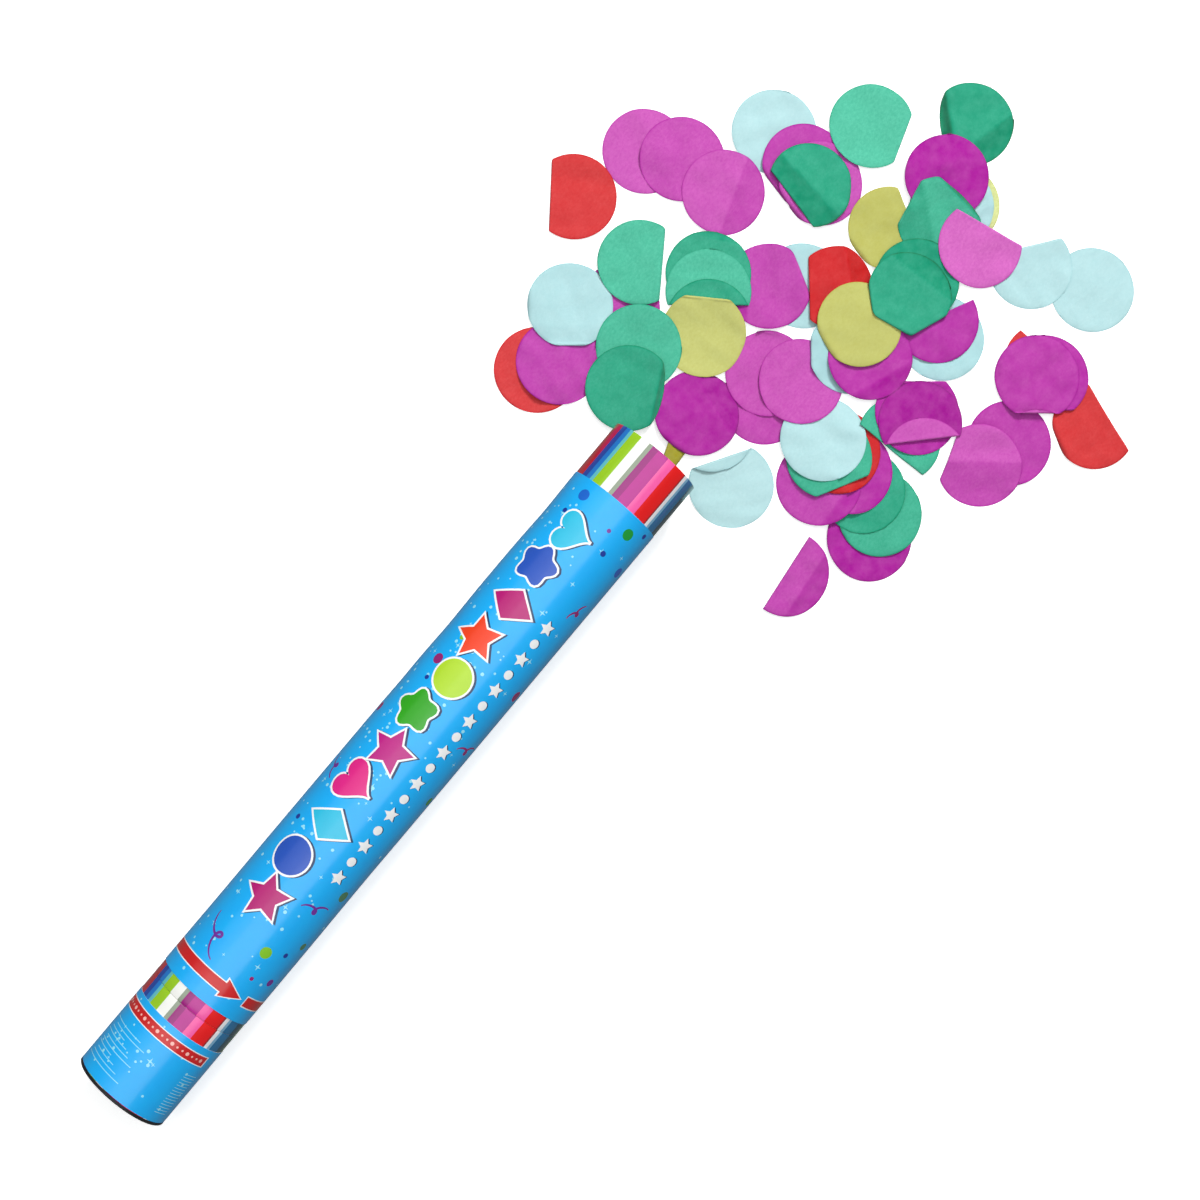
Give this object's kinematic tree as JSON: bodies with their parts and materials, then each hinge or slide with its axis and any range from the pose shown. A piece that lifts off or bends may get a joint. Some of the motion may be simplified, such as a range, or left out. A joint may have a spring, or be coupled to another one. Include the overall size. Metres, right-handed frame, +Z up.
{
  "type": "confetti popper",
  "caption": "Twist-fired confetti popper: a striped card tube in a glossy printed wrap, with a turning handle, an air valve inside and spilled tissue discs at its mouth.",
  "frame": {"origin": "middle of the base cap's flat end face, on the tube's axis", "axes": "+X along the tube from the closed base to the open mouth, +Z up from the floor that the popper lies on"},
  "size_m": [0.6614, 0.3196, 0.05],
  "materials": {
    "tube_card": "satin",
    "print_film": "gloss",
    "black_plastic": "satin",
    "white_plastic": "satin",
    "can_alloy": "satin",
    "steel": "satin",
    "rubber": "matte",
    "foam": "matte",
    "grey_card": "matte",
    "tissue_magenta": "matte",
    "tissue_green": "matte",
    "tissue_pale_blue": "matte",
    "tissue_yellow": "matte",
    "tissue_red": "matte"
  },
  "bodies": {
    "barrel": {"barrel_tube": "tube_card", "barrel_label": "print_film", "cam_collar": "white_plastic", "bulkhead": "white_plastic", "snap_ring": "steel"},
    "handle": {"handle_tube": "tube_card", "handle_label": "print_film", "base_cap": "black_plastic", "swivel_sleeve": "white_plastic", "canister_pad": "foam", "air_canister": "can_alloy", "fill_plug": "rubber", "canister_spacer": "grey_card", "neck_gasket": "rubber", "crimp_ferrule": "can_alloy", "valve_body": "white_plastic", "tower_cap": "black_plastic"},
    "plug": {"valve_plug": "white_plastic", "plug_seal": "rubber", "cam_pins": "steel", "plug_spring": "steel"},
    "wad": {"wad_card": "grey_card", "wad_foam": "foam"},
    "confetti": {"confetti_magenta": "tissue_magenta", "confetti_green": "tissue_green", "confetti_pale_blue": "tissue_pale_blue", "confetti_yellow": "tissue_yellow", "confetti_red": "tissue_red"}
  },
  "joints": [
    {"name": "handle_twist", "type": "hinge", "parent": "barrel", "child": "handle", "pos_m": [0.055, 0, 0], "axis": [-1, 0, 0], "range_deg": [0, 90]},
    {"name": "plug_lift", "type": "slide", "parent": "handle", "child": "plug", "axis": [1, 0, 0], "range_m": [0, 0.009], "deforming": ["plug_spring"]},
    {"name": "wad_travel", "type": "slide", "parent": "barrel", "child": "wad", "axis": [1, 0, 0], "range_m": [0, 0.239]},
    {"name": "confetti_drift", "type": "slide", "parent": "barrel", "child": "confetti", "axis": [1, 0, 0], "range_m": [0, 0.1]}
  ],
  "couplings": [
    {"joint": "plug_lift", "follows": "handle_twist", "m_per_rad": 0.0057295}
  ]
}
